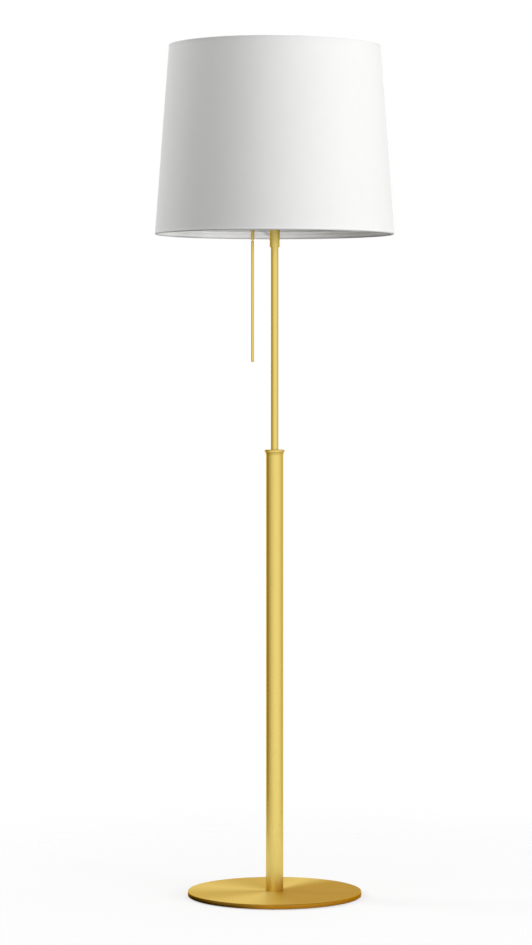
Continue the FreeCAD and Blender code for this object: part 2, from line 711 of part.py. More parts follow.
def pull_coupling():
    """Turned capsule that holds a ball in each end."""
    body = rod(coupling_radius, coupling_bottom, coupling_top)
    rims = [edge for edge in body.Edges if isinstance(edge.Curve, Part.Circle)]
    body = body.makeFillet(COUPLING_ROUND, rims)
    body = body.cut(ball_seat(upper_ball_z, 1)).cut(ball_seat(lower_ball_z, -1))
    body.translate(FreeCAD.Vector(-PULL_OFFSET, 0, 0))
    return body


def pull_rod():
    """Slim straight rod with a domed foot, hung from its own ball."""
    dome_z = rod_bottom + ROD_RADIUS
    dome_side = ROD_RADIUS * math.sqrt(0.5)
    bar = turned(
        point(0, rod_bottom),
        (point(dome_side, dome_z - dome_side), point(ROD_RADIUS, dome_z)),
        point(ROD_RADIUS, rod_top - ROD_TOP_CHAMFER),
        point(ROD_RADIUS - ROD_TOP_CHAMFER, rod_top),
        point(ROD_NECK_RADIUS, rod_top),
        point(ROD_NECK_RADIUS, lower_ball_z),
        point(0, lower_ball_z),
    )
    bar = bar.fuse(Part.makeSphere(BALL_RADIUS, FreeCAD.Vector(0, 0, lower_ball_z))).removeSplitter()
    bar.translate(FreeCAD.Vector(-PULL_OFFSET, 0, 0))
    return bar


# Lampholder

def lampholder_cap():
    hole = nipple_radius + SEAT_FIT
    shoulder = cap_bottom + CAP_SHOULDER_HEIGHT
    bulge = math.sqrt(0.5)
    inner_shoulder = cap_radius - CAP_WALL - CAP_LEDGE
    dome_through = point(
        CAP_FOOT_RADIUS + (cap_radius - CAP_FOOT_RADIUS) * bulge,
        shoulder - (shoulder - cap_bottom) * bulge,
    )
    inner_through = point(
        CAP_FOOT_RADIUS + (inner_shoulder - CAP_FOOT_RADIUS) * bulge,
        shoulder - (shoulder - nut_bottom) * bulge,
    )
    return turned(
        point(hole, cap_bottom),
        point(CAP_FOOT_RADIUS, cap_bottom),
        (dome_through, point(cap_radius, shoulder)),
        point(cap_radius, cap_top),
        point(insert_radius + SEAT_FIT, cap_top),
        point(insert_radius + SEAT_FIT, insert_bottom),
        point(inner_shoulder, insert_bottom),
        point(inner_shoulder, shoulder),
        (inner_through, point(CAP_FOOT_RADIUS, nut_bottom)),
        point(hole, nut_bottom),
    )


def lampholder_insert():
    return rod(insert_radius, insert_bottom, insert_top)


def lampholder_wires():
    """The lead's two cores, spread from its end to the insert's terminals."""
    start = point(WIRE_RADIUS, nipple_top + LEAD_ABOVE_NIPPLE)
    end = point(WIRE_SPREAD, insert_bottom)
    run = end - start
    overrun = run * (WIRE_OVERRUN / run.Length)
    wire = Part.makeCylinder(WIRE_RADIUS, run.Length + 2 * WIRE_OVERRUN, start - overrun, run)
    wire = wire.common(block(0, cap_radius, cap_radius, start.z, end.z))
    return Part.makeCompound([wire, spun(wire, FULL_TURN_DEG / 2)])


def lampholder_body():
    return turned(
        point(insert_radius + SEAT_FIT, cap_top),
        point(cap_radius, cap_top),
        point(cap_radius, holder_flange_top),
        point(holder_radius, holder_flange_top),
        point(holder_radius, holder_top),
        point(holder_bore - HOLDER_LIP, holder_top),
        point(holder_bore - HOLDER_LIP, holder_top - HOLDER_LIP),
        point(holder_bore, holder_top - HOLDER_LIP),
        point(holder_bore, insert_top),
        point(insert_radius + SEAT_FIT, insert_top),
    )


def lampholder_thread():
    foot = thread_shell_radius + THREAD_SHELL_FOOT
    return turned(
        point(thread_shell_bore, insert_top),
        point(foot, insert_top),
        point(foot, insert_top + THREAD_SHELL_WALL),
        point(thread_shell_radius, insert_top + THREAD_SHELL_WALL),
        point(thread_shell_radius, insert_top + THREAD_SHELL_HEIGHT),
        point(thread_shell_bore, insert_top + THREAD_SHELL_HEIGHT),
    )


def lampholder_contact():
    return rod(HOLDER_CONTACT_RADIUS, insert_top, bulb_bottom)


# Bulb

def bulb_contact():
    return rod(BULB_CONTACT_RADIUS, bulb_bottom, bulb_insulator_bottom)


def bulb_insulator():
    return Part.makeCone(BULB_CONTACT_RADIUS, BULB_CAP_RADIUS, BULB_INSULATOR_HEIGHT,
                         FreeCAD.Vector(0, 0, bulb_insulator_bottom))


def bulb_cap():
    return sleeve(BULB_CAP_RADIUS, BULB_CAP_RADIUS - BULB_CAP_WALL, bulb_cap_bottom, bulb_cap_top)


def glass_corners(depth):
    """Points of the glass's section at a depth inside its outer face, from the neck's foot to the crown."""
    neck = BULB_CAP_RADIUS - BULB_CAP_WALL - GLASS_NECK_INSET - depth
    ball = GLASS_RADIUS - depth
    blend = math.radians(GLASS_BLEND_DEG)
    neck_top_z = bulb_cap_top + GLASS_NECK_HEIGHT
    blend_point = point(ball * math.cos(blend), glass_centre_z - ball * math.sin(blend))
    waist = point(
        (neck + blend_point.x) / 2 * GLASS_WAIST,
        (neck_top_z + blend_point.z) / 2,
    )
    shoulder = point(ball * math.sqrt(0.5), glass_centre_z + ball * math.sqrt(0.5))
    return {
        "foot": point(neck, bulb_cap_top - GLASS_IN_CAP),
        "neck": point(neck, neck_top_z),
        "waist": waist,
        "blend": blend_point,
        "shoulder": shoulder,
        "crown": point(0, glass_centre_z + ball),
    }


def bulb_glass():
    outer = glass_corners(0)
    inner = glass_corners(GLASS_WALL)
    return turned(
        outer["foot"],
        outer["neck"],
        (outer["waist"], outer["blend"]),
        (outer["shoulder"], outer["crown"]),
        inner["crown"],
        (inner["shoulder"], inner["blend"]),
        (inner["waist"], inner["neck"]),
        inner["foot"],
    )


# Shade fitting

def shade_ring(bottom, flange_low):
    """Threaded ring with a gripped flange at one end."""
    top = bottom + SHADE_RING_HEIGHT
    ring = sleeve(shade_ring_sleeve_radius, shade_ring_bore, bottom, top)
    flange_bottom = bottom if flange_low else top - SHADE_RING_FLANGE_THICKNESS
    flange_top = flange_bottom + SHADE_RING_FLANGE_THICKNESS
    flange = sleeve(shade_ring_radius, shade_ring_bore, flange_bottom, flange_top)
    grip = rod(SHADE_RING_GRIP_RADIUS, bottom, top, shade_ring_radius)
    grips = [spun(grip, FULL_TURN_DEG * index / SHADE_RING_GRIPS) for index in range(SHADE_RING_GRIPS)]
    return ring.fuse(flange).cut(grips).removeSplitter()


def shade_ring_lower():
    return shade_ring(lower_ring_bottom, False)


def shade_ring_upper():
    return shade_ring(hub_top, True)


def shade_hub():
    return sleeve(hub_radius, holder_radius + HUB_GAP, hub_bottom, hub_top)


def shade_point(run, depth):
    """Point of the shade's section: run up the wall from its lower edge, depth inwards from its face."""
    return point(
        SHADE_BOTTOM_RADIUS - run * math.sin(shade_slant) - depth * math.cos(shade_slant),
        shade_bottom + run * math.cos(shade_slant) - depth * math.sin(shade_slant),
    )


def edge_ring(run):
    centre = shade_point(run, hem_roll)
    return Part.makeTorus(centre.x, SHADE_WIRE_RADIUS, FreeCAD.Vector(0, 0, centre.z))


def bottom_ring():
    return edge_ring(hem_roll)


def top_ring():
    return edge_ring(shade_length - hem_roll)


def arm_wire(radius):
    """Round wire that lies flat under the hub's plate, then runs straight down to the lower edge ring."""
    height = hub_bottom - ARM_RADIUS
    start = point(shade_ring_radius + ARM_START_GAP, height)
    corner = point(hub_radius + ARM_FLAT_PROUD, height)
    end = shade_point(ARM_RADIUS + ARM_NOTCH_GAP + COVER_THICKNESS, hem_roll)
    slope = end - corner
    slope.normalize()
    drop = math.acos(slope.x)
    setback = ARM_BEND_RADIUS * math.tan(drop / 2)
    bend_start = corner - point(setback, 0)
    bend_centre = bend_start - point(0, ARM_BEND_RADIUS)
    bend_middle = bend_centre + point(math.sin(drop / 2), math.cos(drop / 2)) * ARM_BEND_RADIUS
    bend_end = corner + slope * setback
    path = [
        Part.LineSegment(start, bend_start).toShape(),
        Part.Arc(bend_start, bend_middle, bend_end).toShape(),
        Part.LineSegment(bend_end, end).toShape(),
    ]
    return swept(path, radius)


def shade_arm(azimuth):
    return spun(arm_wire(ARM_RADIUS), azimuth).cut(bottom_ring()).removeSplitter()


# Shade

def shade_cover():
    """Outer cloth, rolled round the two wire rings and folded over the liner's edges."""
    roll = hem_roll
    skin = COVER_THICKNESS
    flap_low = COVER_THICKNESS + LINER_THICKNESS
    flap_high = flap_low + COVER_THICKNESS
    top = shade_length
    cover = turned(
        shade_point(roll, 0),
        shade_point(top - roll, 0),
        (shade_point(top, roll), shade_point(top - roll, 2 * roll)),
        shade_point(top - roll - HEM_WIDTH, flap_high),
        shade_point(top - roll - HEM_WIDTH, flap_low),
        shade_point(top - roll, 2 * roll - skin),
        (shade_point(top - skin, roll), shade_point(top - roll, skin)),
        shade_point(roll, skin),
        (shade_point(skin, roll), shade_point(roll, 2 * roll - skin)),
        shade_point(roll + HEM_WIDTH, flap_low),
        shade_point(roll + HEM_WIDTH, flap_high),
        shade_point(roll, 2 * roll),
        (shade_point(0, roll), shade_point(roll, 0)),
    )
    notch = arm_wire(ARM_RADIUS + ARM_NOTCH_GAP)
    return cover.cut([spun(notch, azimuth) for azimuth in ARM_AZIMUTHS_DEG.values()])


def shade_liner():
    low = 2 * hem_roll
    high = shade_length - 2 * hem_roll
    outer = COVER_THICKNESS
    inner = COVER_THICKNESS + LINER_THICKNESS
    return turned(
        shade_point(low, outer),
        shade_point(high, outer),
        shade_point(high, inner),
        shade_point(low, inner),
    )


PIECES = [
    base_pad, base_plate, foot_washer, foot_bolt, tube_foot_plug,
    lower_tube, cord_grommet, inlet_lead, slack_lead_coil, guide_collar, guide_bush,
    slide_piston, friction_rings,
    upper_tube, retaining_collar, stop_sleeve, upper_lead, neck_nipple, neck_nut, neck_ferrule,
    switch_housing, switch_cover, pull_guide, pull_spring, lever_pin, switch_lever,
    switch_contact_block, switch_contacts,
    pull_pin, pull_coupling, pull_rod,
    lampholder_cap, lampholder_insert, lampholder_wires, lampholder_body, lampholder_thread,
    lampholder_contact, bulb_contact, bulb_insulator, bulb_cap, bulb_glass,
    shade_ring_lower, shade_ring_upper, shade_hub, bottom_ring, top_ring, shade_cover, shade_liner,
]


def build():
    os.makedirs("parts", exist_ok=True)
    shapes = {piece.__name__: piece() for piece in PIECES}
    for side, azimuth in ARM_AZIMUTHS_DEG.items():
        shapes["shade_arm_" + side] = shade_arm(azimuth)
    for name, shape in shapes.items():
        shape.exportStep("parts/" + name + ".step")
    return shapes


build()
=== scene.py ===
import math

import bpy
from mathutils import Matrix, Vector


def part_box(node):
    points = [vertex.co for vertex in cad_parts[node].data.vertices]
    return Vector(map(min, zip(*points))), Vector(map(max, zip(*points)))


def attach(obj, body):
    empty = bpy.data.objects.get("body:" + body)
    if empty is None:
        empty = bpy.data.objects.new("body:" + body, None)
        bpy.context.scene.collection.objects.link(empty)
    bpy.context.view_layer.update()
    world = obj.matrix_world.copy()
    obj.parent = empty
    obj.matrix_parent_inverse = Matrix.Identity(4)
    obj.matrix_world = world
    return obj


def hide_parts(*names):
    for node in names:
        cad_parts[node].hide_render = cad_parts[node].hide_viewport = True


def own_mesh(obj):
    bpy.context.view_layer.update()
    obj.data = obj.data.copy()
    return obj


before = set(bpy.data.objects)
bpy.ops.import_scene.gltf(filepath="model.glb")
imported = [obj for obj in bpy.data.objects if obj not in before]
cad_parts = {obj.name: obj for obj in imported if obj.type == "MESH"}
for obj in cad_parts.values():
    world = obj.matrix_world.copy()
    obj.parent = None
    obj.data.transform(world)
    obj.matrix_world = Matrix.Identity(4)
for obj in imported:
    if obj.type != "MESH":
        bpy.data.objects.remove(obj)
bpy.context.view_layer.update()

# Telescopic floor lamp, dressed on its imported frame. Metres, +Z up, the pull on the -X side, the front at -Y.
# One section for each piece or group of pieces, in the order in which the lamp is put together.


# Camera
#
# A long lens 5.6 m in front, at about the height of a seated eye, tipped down a little.
# Its place and angle are fitted to the photo, so its numbers are not round.

EYE_DISTANCE = 5.586
EYE_HEIGHT = 0.917
EYE_SIDE = -0.0149
EYE_DIP = math.radians(1.891)
LENS_LENGTH = 123.56
SENSOR_WIDTH = 36.0

lens = bpy.data.cameras.new("photo_camera")
lens.lens = LENS_LENGTH
lens.sensor_width = SENSOR_WIDTH
lens.dof.use_dof = False
camera = bpy.data.objects.new("photo_camera", lens)
camera.location = (EYE_SIDE, -EYE_DISTANCE, EYE_HEIGHT)
camera.rotation_euler = (math.pi / 2 - EYE_DIP, 0, 0)
bpy.context.collection.objects.link(camera)
bpy.context.scene.camera = camera
bpy.context.scene.view_settings.view_transform = "Standard"


# Studio
#
# A white backdrop behind the lamp and a pale floor that fades into it. The rest of the room is lightest
# at the front right and falls off to a dim, warm left side. Three soft lamps add the light on matt surfaces.


class Signal:
    """One output of a node. Sums and products of signals and numbers become Math nodes."""

    def __init__(self, shader, socket):
        self.shader = shader
        self.socket = socket

    def __add__(self, other):
        return self.shader.maths("ADD", self, other)

    def __sub__(self, other):
        return self.shader.maths("SUBTRACT", self, other)

    def __rsub__(self, other):
        return self.shader.maths("SUBTRACT", other, self)

    def __mul__(self, other):
        return self.shader.maths("MULTIPLY", self, other)

    __radd__ = __add__
    __rmul__ = __mul__


class Shader:
    """A node tree under construction."""

    def __init__(self, tree):
        self.tree = tree
        tree.nodes.clear()

    def add(self, kind, settings, inputs, output=0):
        """Adds a node: settings first, then its inputs as values or signals. Gives the chosen output."""
        node = self.tree.nodes.new("ShaderNode" + kind)
        for name, value in settings.items():
            setattr(node, name, value)
        for name, value in inputs.items():
            if isinstance(value, Signal):
                self.tree.links.new(value.socket, node.inputs[name])
            else:
                node.inputs[name].default_value = value
        return Signal(self, node.outputs[output]) if node.outputs else None

    def maths(self, operation, *values):
        return self.add("Math", {"operation": operation}, dict(enumerate(values)))

    def dot(self, first, second):
        return self.add("VectorMath", {"operation": "DOT_PRODUCT"}, {0: first, 1: second}, "Value")

    def scaled(self, vector, factor):
        return self.add("VectorMath", {"operation": "SCALE"}, {0: vector, "Scale": factor})

    def parts(self, vector):
        return [self.add("SeparateXYZ", {}, {0: vector}, axis) for axis in "XYZ"]

    def between(self, value, low, high):
        """0 below low, 1 above high, and smooth between."""
        ramp = {"interpolation_type": "SMOOTHSTEP"}
        return self.add("MapRange", ramp, {"Value": value, "From Min": low, "From Max": high})

    def blend(self, share, first, second):
        """Colour that goes from first to second."""
        return self.add("Mix", {"data_type": "RGBA"}, {0: share, 6: first, 7: second}, 2)

    def show(self, kind, surface):
        self.add("Output" + kind, {}, {"Surface": surface})


WHITE = (1.0, 1.0, 1.0, 1.0)
LIGHT_SIDE = (0.42, -0.91, 0.0)
ROOM_LEVEL = 0.61
ROOM_SWING = 0.47
STEEP_LOSS = 0.5
STEEP_SPAN = (0.15, 0.85)
MATT_SHARE = 0.70
MATT_BELOW = 0.08
HORIZON_SPAN = (-0.22, 0.30)
BACKDROP_SPAN = (0.40, 0.88)
WARM = (1.0, 0.76, 0.22, 1.0)
WARM_SPAN = (0.85, 0.25)

world = bpy.data.worlds.new("studio")
bpy.context.scene.world = world
world.use_nodes = True
room = Shader(world.node_tree)
direction = room.add("TexCoord", {}, {}, "Generated")
_, back, height = room.parts(direction)
steepness = room.maths("ABSOLUTE", height)
level = ROOM_LEVEL + room.dot(direction, LIGHT_SIDE) * ROOM_SWING
level = level * (1.0 - STEEP_LOSS * room.between(steepness, *STEEP_SPAN))
mirrored = room.add("LightPath", {}, {}, "Is Glossy Ray")
tint = room.blend(mirrored * room.between(level, *WARM_SPAN), WHITE, WARM)
matt_level = MATT_SHARE * (MATT_BELOW + (1.0 - MATT_BELOW) * room.between(height, *HORIZON_SPAN))
strength = level * (matt_level + mirrored * (1.0 - matt_level))
room_colour = room.blend(room.between(back, *BACKDROP_SPAN), room.scaled(tint, strength), WHITE)
seen = room.add("LightPath", {}, {}, "Is Camera Ray")
shown = room.blend(seen, room_colour, WHITE)
room.show("World", room.add("Background", {}, {"Color": shown, "Strength": 1.0}))


def soft_lamp(name, place, aim, width, height, power):
    """Area lamp for matt surfaces. Metal mirrors the room, not the lamp."""
    light = bpy.data.lights.new(name, "AREA")
    light.shape = "RECTANGLE"
    light.size = width
    light.size_y = height
    light.energy = power
    lamp = bpy.data.objects.new(name, light)
    lamp.location = place
    lamp.rotation_euler = (Vector(aim) - Vector(place)).to_track_quat("-Z", "Y").to_euler()
    lamp.visible_glossy = False
    bpy.context.collection.objects.link(lamp)


soft_lamp("key_lamp", (3.6, -3.2, 0.80), (0, 0, 1.1), 1.6, 1.3, 156.0)
soft_lamp("rim_lamp", (-3.7, 1.2, 2.3), (0, 0, 1.2), 1.4, 1.6, 88.0)
soft_lamp("top_lamp", (0.3, -0.2, 3.6), (0, 0, 0), 2.4, 2.4, 60.0)

FLOOR_RADIUS = 2.6
FLOOR_CORNERS = 96
FLOOR_FADE = (0.35, 1.3)
SEEN_FADE = 0.55
SHADED_SIDE = (-0.82, -0.57, 0.0)
SHADED_SPAN = (0.60, 0.95)
SHADOW_END = (0.16, 0.26)
SHADOW_TINT = (1.0, 0.74, 0.32)
SHADOW_PALE = 0.52
SHADOW_DARK = 0.02
PALE_FLOOR = (0.90, 0.90, 0.90, 1.0)
DIM_FLOOR = (0.18, 0.18, 0.18, 1.0)

floor_rim = []
for corner in range(FLOOR_CORNERS):
    turn = math.tau * corner / FLOOR_CORNERS
    floor_rim.append((FLOOR_RADIUS * math.cos(turn), FLOOR_RADIUS * math.sin(turn), 0.0))
floor_mesh = bpy.data.meshes.new("floor")
floor_mesh.from_pydata(floor_rim, [], [list(range(FLOOR_CORNERS))])
floor = bpy.data.objects.new("floor", floor_mesh)
bpy.context.collection.objects.link(floor)

# The floor is transparent far out, where the white backdrop takes over. To the camera it is pale. To
# metal it is pale, with a painted warm shadow round the plate; as a source of light from below it is dim.
floor_finish = bpy.data.materials.new("pale_floor")
floor_finish.use_nodes = True
ground = Shader(floor_finish.node_tree)
floor_place = ground.add("TexCoord", {}, {}, "Object")
from_lamp = ground.add("VectorMath", {"operation": "LENGTH"}, {0: floor_place}, "Value")
seen = ground.add("LightPath", {}, {}, "Is Camera Ray")
mirrored = ground.add("LightPath", {}, {}, "Is Glossy Ray")
outward = ground.between(from_lamp, *FLOOR_FADE)
fade = outward + seen * SEEN_FADE * (1.0 - outward)
# A painted warm shadow round the plate, darkest on the shaded side, that only metal sees.
heading = ground.add("VectorMath", {"operation": "NORMALIZE"}, {0: floor_place})
shaded = ground.between(ground.dot(heading, SHADED_SIDE), *SHADED_SPAN)
painted_shadow = ground.scaled(SHADOW_TINT, SHADOW_PALE - (SHADOW_PALE - SHADOW_DARK) * shaded)
mirrored_floor = ground.blend(ground.between(from_lamp, *SHADOW_END), painted_shadow, PALE_FLOOR)
matt_colour = ground.blend(mirrored, ground.blend(seen, DIM_FLOOR, PALE_FLOOR), mirrored_floor)
matt = ground.add("BsdfDiffuse", {}, {"Color": matt_colour})
clear = ground.add("BsdfTransparent", {}, {"Color": WHITE})
ground.show("Material", ground.add("MixShader", {}, {0: fade, 1: matt, 2: clear}))
floor_mesh.materials.append(floor_finish)


# Base plate
#
# A steel disc 8 mm thick with a thin rounded edge, faced on a lathe, brass plated, brushed round the
# centre and lacquered. Its colour holds a painted reflection: pale painted fans on one side and painted
# shade on the other, with a deeper painted shade on the edge. Its weight keeps the lamp upright.

BRASS_GRAZING = (0.95, 0.74, 0.28, 1.0)
PLATE_PAINTED_LIT = (0.90, 0.68, 0.21, 1.0)
PLATE_PAINTED_SHADE = (0.54, 0.30, 0.022, 1.0)
PLATE_EDGE_PAINTED_SHADE = (0.66, 0.36, 0.042, 1.0)
PLATE_GRAZING = (1.0, 0.79, 0.20, 1.0)
PAINTED_LIT_SIDE = math.radians(165.5)
PAINTED_LIT_SPAN = (-0.66, -0.09)
FIRST_PAINTED_FAN = math.radians(66)
PAINTED_FAN_COUNT = 4.0
PAINTED_FAN_LEVEL = 0.68
PAINTED_FAN_SWING = 0.26
STREAK_SHARE = 0.06
PLATE_RADIUS = 0.150
EDGE_START = PLATE_RADIUS - 0.0010
EDGE_END = PLATE_RADIUS - 0.0002
RINGS_PER_METRE = 900.0
RING_SPAN = (0.25, 0.60)


def new_finish(name):
    finish = bpy.data.materials.new(name)
    finish.use_nodes = True
    return finish, Shader(finish.node_tree)


def paint(finish, *nodes):
    """Gives CAD nodes, which keep their shape, a finish."""
    for node in nodes:
        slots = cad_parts[node].data.materials
        slots.clear()
        slots.append(finish)


def place_of(shader):
    """x, y and z of a point on a piece at rest."""
    return shader.parts(shader.add("TexCoord", {}, {}, "Object"))


def from_axis(shader, x, y):
    return shader.maths("SQRT", x * x + y * y)


def speckle(shader, x, y, z, detail=2.0):
    """Smooth noise about 0.5, at a place given in grains."""
    place = shader.add("CombineXYZ", {}, {0: x, 1: y, 2: z})
    return shader.add("TexNoise", {}, {"Vector": place, "Scale": 1.0, "Detail": detail})


def relief(shader, height, strength, depth=0.0001):
    return shader.add("Bump", {}, {"Strength": strength, "Distance": depth, "Height": height})


def lacquered_brass(shader, tone, roughness, normal, grazing=BRASS_GRAZING, metal=1.0, lacquer=0.25, gloss=0.5):
    """Brass under clear lacquer."""
    shader.show("Material", shader.add("BsdfPrincipled", {}, {
        "Base Color": tone,
        "Metallic": metal,
        "Roughness": roughness,
        "Specular IOR Level": gloss,
        "Specular Tint": grazing,
        "Coat Weight": lacquer,
        "Coat Roughness": 0.2,
        "Coat IOR": 1.45,
        "Normal": normal,
    }))


faced_brass_painted_sheen, shader = new_finish("faced_brass_painted_sheen")
x, y, z = place_of(shader)
radius = from_axis(shader, x, y)
rings = speckle(shader, radius * RINGS_PER_METRE, z * RINGS_PER_METRE, 0.0)
streaks = shader.between(rings, *RING_SPAN)
# The pale side and its four fans are a painted reflection; the deep colour elsewhere is painted shade. The fine
# rings are the real brushing.
angle = shader.maths("ARCTAN2", y, x)
painted_lit_side = shader.between(shader.maths("COSINE", angle - PAINTED_LIT_SIDE), *PAINTED_LIT_SPAN)
painted_fans = shader.maths("COSINE", (angle - FIRST_PAINTED_FAN) * PAINTED_FAN_COUNT)
painted_sheen_and_rings = painted_lit_side * (PAINTED_FAN_LEVEL + painted_fans * PAINTED_FAN_SWING) + streaks * STREAK_SHARE
# The edge's deeper colour is a painted shade for the dark floor it mirrors; its higher metal and lower
# roughness are its polish.
edge = shader.between(radius, EDGE_START, EDGE_END)
lacquered_brass(
    shader,
    shader.blend(edge, shader.blend(painted_sheen_and_rings, PLATE_PAINTED_SHADE, PLATE_PAINTED_LIT), PLATE_EDGE_PAINTED_SHADE),
    0.48 + streaks * 0.05 - edge * 0.33,
    relief(shader, rings, 0.10),
    grazing=PLATE_GRAZING,
    metal=0.58 + edge * 0.40,
    lacquer=0.04,
    gloss=0.05,
)
paint(faced_brass_painted_sheen, "base_plate")


# Felt pad
#
# A ring of pressed black wool felt, 1 mm thick. It is glued under the plate, so that the plate neither
# scratches the floor nor slides on it.


def grained(name, grains, colours, roughness, uneven=0.0, raised=0.0, detail=3.0, depth=0.0001, more=None):
    """A finish whose colour, gloss and surface vary with one fine noise, given in grains per metre."""
    finish, shader = new_finish(name)
    x, y, z = place_of(shader)
    grain = speckle(shader, x * grains, y * grains, z * grains, detail)
    inputs = {
        "Base Color": shader.blend(grain, *colours),
        "Roughness": roughness + grain * uneven,
        **(more or {}),
    }
    if raised:
        inputs["Normal"] = relief(shader, grain, raised, depth)
    shader.show("Material", shader.add("BsdfPrincipled", {}, inputs))
    return finish


FELT = ((0.015, 0.015, 0.015, 1.0), (0.06, 0.06, 0.06, 1.0))

felt = grained(
    "pressed_felt", 1400.0, FELT, roughness=0.95, raised=0.6, detail=4.0, depth=0.0003,
    more={"Sheen Weight": 0.3},
)
paint(felt, "base_pad")


# Foot bolt, washer and plug
#
# Turned and rolled steel, zinc plated. The bolt goes up through the washer and the plate into the plug,
# which is pressed into the lower tube, and so clamps the tube to the plate.

ZINC = ((0.50, 0.51, 0.53, 1.0), (0.66, 0.67, 0.68, 1.0))

zinc = grained("zinc_plate", 600.0, ZINC, roughness=0.28, uneven=0.2, raised=0.08, more={"Metallic": 1.0})
paint(zinc, "foot_bolt", "foot_washer", "tube_foot_plug")


# Tubes
#
# The wide lower tube and the slim upper one: drawn brass, brushed along their length and lacquered.
# The pull's rod is drawn and finished in the same way.

BRASS = (0.82, 0.64, 0.185, 1.0)
BRASS_DEEP = (0.77, 0.58, 0.145, 1.0)
HAIRS_PER_METRE = 4200.0
HAIR_ENDS_PER_METRE = 30.0
HAIR_SPAN = (0.30, 0.62)

drawn_brass, shader = new_finish("drawn_brass")
x, y, z = place_of(shader)
hairs = speckle(shader, x * HAIRS_PER_METRE, y * HAIRS_PER_METRE, z * HAIR_ENDS_PER_METRE)
streaks = shader.between(hairs, *HAIR_SPAN)
tone = shader.blend(streaks, BRASS_DEEP, BRASS)
lacquered_brass(shader, tone, 0.20 + streaks * 0.06, relief(shader, hairs, 0.012))
paint(drawn_brass, "lower_tube", "upper_tube", "pull_rod")


# Grommet and brake rings
#
# Black rubber. The grommet is pushed into the hole at the back through which the lead comes in, and the
# rings sit in the piston's grooves and hold the upper tube at the height it is set to.

RUBBER = ((0.018, 0.018, 0.018, 1.0), (0.040, 0.040, 0.040, 1.0))

rubber = grained("black_rubber", 900.0, RUBBER, roughness=0.55, uneven=0.2, raised=0.15)
paint(rubber, "cord_grommet", "friction_rings")


# Lead
#
# White, sheathed in plastic. It comes in through the grommet and goes up the upper tube to the
# lampholder, where its wires are bared.

SHEATH = ((0.74, 0.73, 0.69, 1.0), (0.82, 0.81, 0.77, 1.0))

sheath = grained("lead_sheath", 500.0, SHEATH, roughness=0.42, uneven=0.15, raised=0.08)
paint(sheath, "inlet_lead", "upper_lead", "lampholder_wires")


# Coiled lead
#
# The slack of the lead, wound into an open helix that closes up as the upper tube comes down.
# It stands on the straight lead from the inlet and ends under the piston.

COIL_TURNS = 12
COIL_STEPS = 32
COIL_SIDES = 12
LEAD_RADIUS = 0.0025


def smooth_piece(name, corners, faces, finish):
    mesh = bpy.data.meshes.new(name)
    mesh.from_pydata(corners, [], faces)
    mesh.shade_smooth()
    mesh.materials.append(finish)
    piece = bpy.data.objects.new(name, mesh)
    bpy.context.collection.objects.link(piece)
    return piece


def swept(name, path, thickness, sides, finish):
    """Round wire along a path of points, closed at both ends."""
    points = [Vector(place) for place in path]
    across = (points[1] - points[0]).orthogonal().normalized()
    corners = []
    faces = []
    for index, point in enumerate(points):
        ahead = (points[min(index + 1, len(points) - 1)] - points[max(index - 1, 0)]).normalized()
        across = (across - ahead * across.dot(ahead)).normalized()
        beside = ahead.cross(across)
        for side in range(sides):
            turn = math.tau * side / sides
            corners.append(point + (across * math.cos(turn) + beside * math.sin(turn)) * thickness)
    for index in range(len(points) - 1):
        for side in range(sides):
            here = index * sides
            along = (side + 1) % sides
            faces.append((here + side, here + along, here + sides + along, here + sides + side))
    faces.append(tuple(range(sides))[::-1])
    faces.append(tuple(range(len(corners) - sides, len(corners))))
    return smooth_piece(name, corners, faces, finish)


def ease(share):
    return share * share * (3.0 - 2.0 * share)


coil_low, coil_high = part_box("slack_lead_coil")
coil_radius = coil_high[0] - LEAD_RADIUS
coil_path = []
for step in range(COIL_TURNS * COIL_STEPS + 1):
    share = step / (COIL_TURNS * COIL_STEPS)
    reach = coil_radius * ease(min(1.0, COIL_TURNS * min(share, 1.0 - share)))
    turn = math.tau * COIL_TURNS * share
    rise = coil_low[2] + (coil_high[2] - coil_low[2]) * share
    coil_path.append((reach * math.cos(turn), reach * math.sin(turn), rise))
coiled_lead = swept("coiled_lead", coil_path, LEAD_RADIUS, COIL_SIDES, sheath)
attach(coiled_lead, "stand")
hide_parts("slack_lead_coil")
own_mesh(coiled_lead)


# Collar, ferrule, switch housing and the pull's coupling
#
# Turned or pressed brass, with fine rings left by the lathe, and lacquered as the tubes are. The small
# parts inside the switch and the lampholder are brass too. The nut, collar and pin are plated steel.

TURNING_MARKS = 2400.0
FACING_MARKS = 800.0
MARK_SPAN = (0.28, 0.60)

turned_brass, shader = new_finish("turned_brass")
x, y, z = place_of(shader)
rings = speckle(shader, z * TURNING_MARKS, from_axis(shader, x, y) * FACING_MARKS, 0.0)
streaks = shader.between(rings, *MARK_SPAN)
tone = shader.blend(streaks, BRASS_DEEP, BRASS)
lacquered_brass(shader, tone, 0.20 + streaks * 0.06, relief(shader, rings, 0.10))
paint(turned_brass, "guide_collar", "neck_ferrule", "switch_housing", "switch_cover", "pull_guide")
paint(turned_brass, "pull_pin", "pull_coupling", "switch_lever", "switch_contacts", "neck_nipple")
paint(turned_brass, "lampholder_thread", "lampholder_contact")
paint(zinc, "neck_nut", "retaining_collar", "lever_pin")


# Pull spring
#
# Zinc-plated spring wire, wound as an open helix with closed ends. It stands on the pull's guide and
# lifts the pin back after each pull.

SPRING_TURNS = 6
SPRING_STEPS = 24
SPRING_SIDES = 8
SPRING_WIRE_RADIUS = 0.00025
CLOSED_TURNS = 0.8

